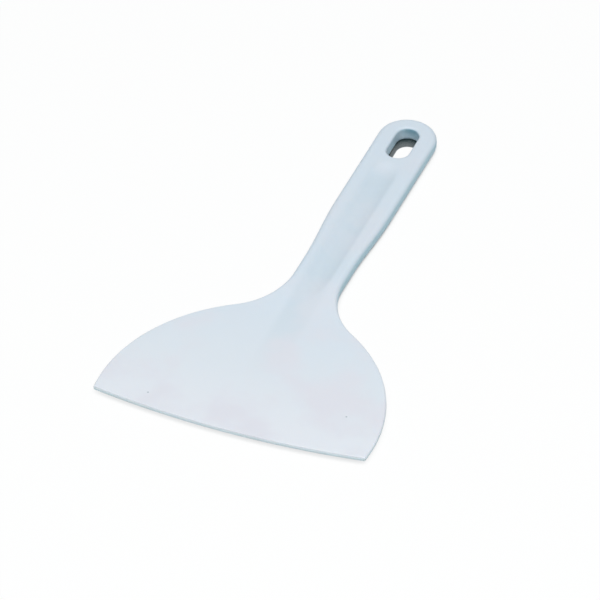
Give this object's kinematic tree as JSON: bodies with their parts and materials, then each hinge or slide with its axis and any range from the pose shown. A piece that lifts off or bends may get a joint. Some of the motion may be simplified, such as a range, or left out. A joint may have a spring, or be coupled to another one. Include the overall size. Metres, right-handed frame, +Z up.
{
  "type": "pan scraper",
  "caption": "Moulded plastic pan scraper: thin fan-shaped blade with a bowed, bevelled working edge, a swelling neck and a flat rounded handle with a hanging slot and grip channels.",
  "frame": {"origin": "centre of the scraper's footprint, level with the underside of the handle", "axes": "+Y along the handle from the working edge to the hanging end, +X across the blade, +Z up through the thickness"},
  "size_m": [0.15, 0.266, 0.008],
  "materials": {
    "pale_plastic": "satin moulded polypropylene, pale blue-white, the same all through"
  },
  "bodies": {
    "root": {"scraper_moulding": "pale_plastic"}
  },
  "joints": []
}
